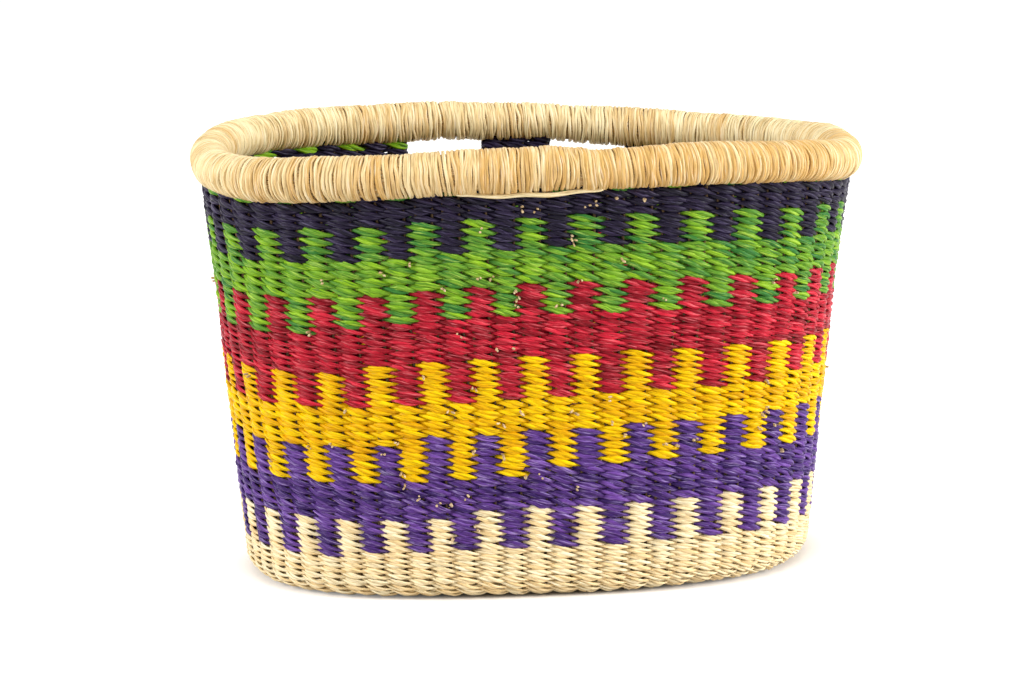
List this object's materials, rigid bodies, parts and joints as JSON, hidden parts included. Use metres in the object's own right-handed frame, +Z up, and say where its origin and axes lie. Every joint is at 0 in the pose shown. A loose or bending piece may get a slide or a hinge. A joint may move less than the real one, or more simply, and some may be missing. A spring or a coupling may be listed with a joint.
{
  "type": "woven basket",
  "caption": "Rounded oblong basket of twined coloured straw on bent straw stakes, with a bound rim and two strap slots under the rim at the back.",
  "frame": {"origin": "centre of the mouth's plan, on the floor under the base", "axes": "+X along the basket's length, +Z up out of the mouth, +Y towards the back wall with the strap slots"},
  "size_m": [0.3742, 0.2708, 0.2479],
  "materials": {
    "straw_natural": "undyed dry straw, satin",
    "straw_purple": "dyed straw, satin",
    "straw_yellow": "dyed straw, satin",
    "straw_red": "dyed straw, satin",
    "straw_green": "dyed straw, satin",
    "straw_navy": "dyed straw, satin",
    "straw_rim": "undyed split straw binding, glossy",
    "straw_stake": "dry grass stems, matt"
  },
  "bodies": {
    "root": {"base_weft_outside": "straw_natural", "base_weft_inside": "straw_natural", "weft_purple": "straw_purple", "weft_yellow": "straw_yellow", "weft_red": "straw_red", "weft_green": "straw_green", "weft_navy": "straw_navy", "slot_bridge": "straw_navy", "rim_core": "straw_stake", "tucked_straw": "straw_rim", "cross_stake_01": "straw_stake", "cross_stake_02": "straw_stake", "cross_stake_03": "straw_stake", "cross_stake_04": "straw_stake", "cross_stake_05": "straw_stake", "cross_stake_06": "straw_stake", "cross_stake_07": "straw_stake", "cross_stake_08": "straw_stake", "cross_stake_09": "straw_stake", "cross_stake_10": "straw_stake", "cross_stake_11": "straw_stake", "cross_stake_12": "straw_stake", "cross_stake_13": "straw_stake", "cross_stake_14": "straw_stake", "cross_stake_15": "straw_stake", "cross_stake_16": "straw_stake", "cross_stake_17": "straw_stake", "cross_stake_18": "straw_stake", "cross_stake_19": "straw_stake", "cross_stake_20": "straw_stake", "cross_stake_21": "straw_stake", "cross_stake_22": "straw_stake", "cross_stake_23": "straw_stake", "long_stake_01": "straw_stake", "long_stake_02": "straw_stake", "long_stake_03": "straw_stake", "long_stake_04": "straw_stake", "long_stake_05": "straw_stake", "long_stake_06": "straw_stake", "long_stake_07": "straw_stake", "long_stake_08": "straw_stake", "long_stake_09": "straw_stake", "long_stake_10": "straw_stake", "long_stake_11": "straw_stake", "long_stake_12": "straw_stake", "rim_binding_01": "straw_rim", "rim_binding_02": "straw_rim", "rim_binding_03": "straw_rim", "rim_binding_04": "straw_rim", "rim_binding_05": "straw_rim", "rim_binding_06": "straw_rim", "rim_binding_07": "straw_rim", "rim_binding_08": "straw_rim", "rim_binding_09": "straw_rim", "rim_binding_10": "straw_rim"}
  },
  "joints": []
}
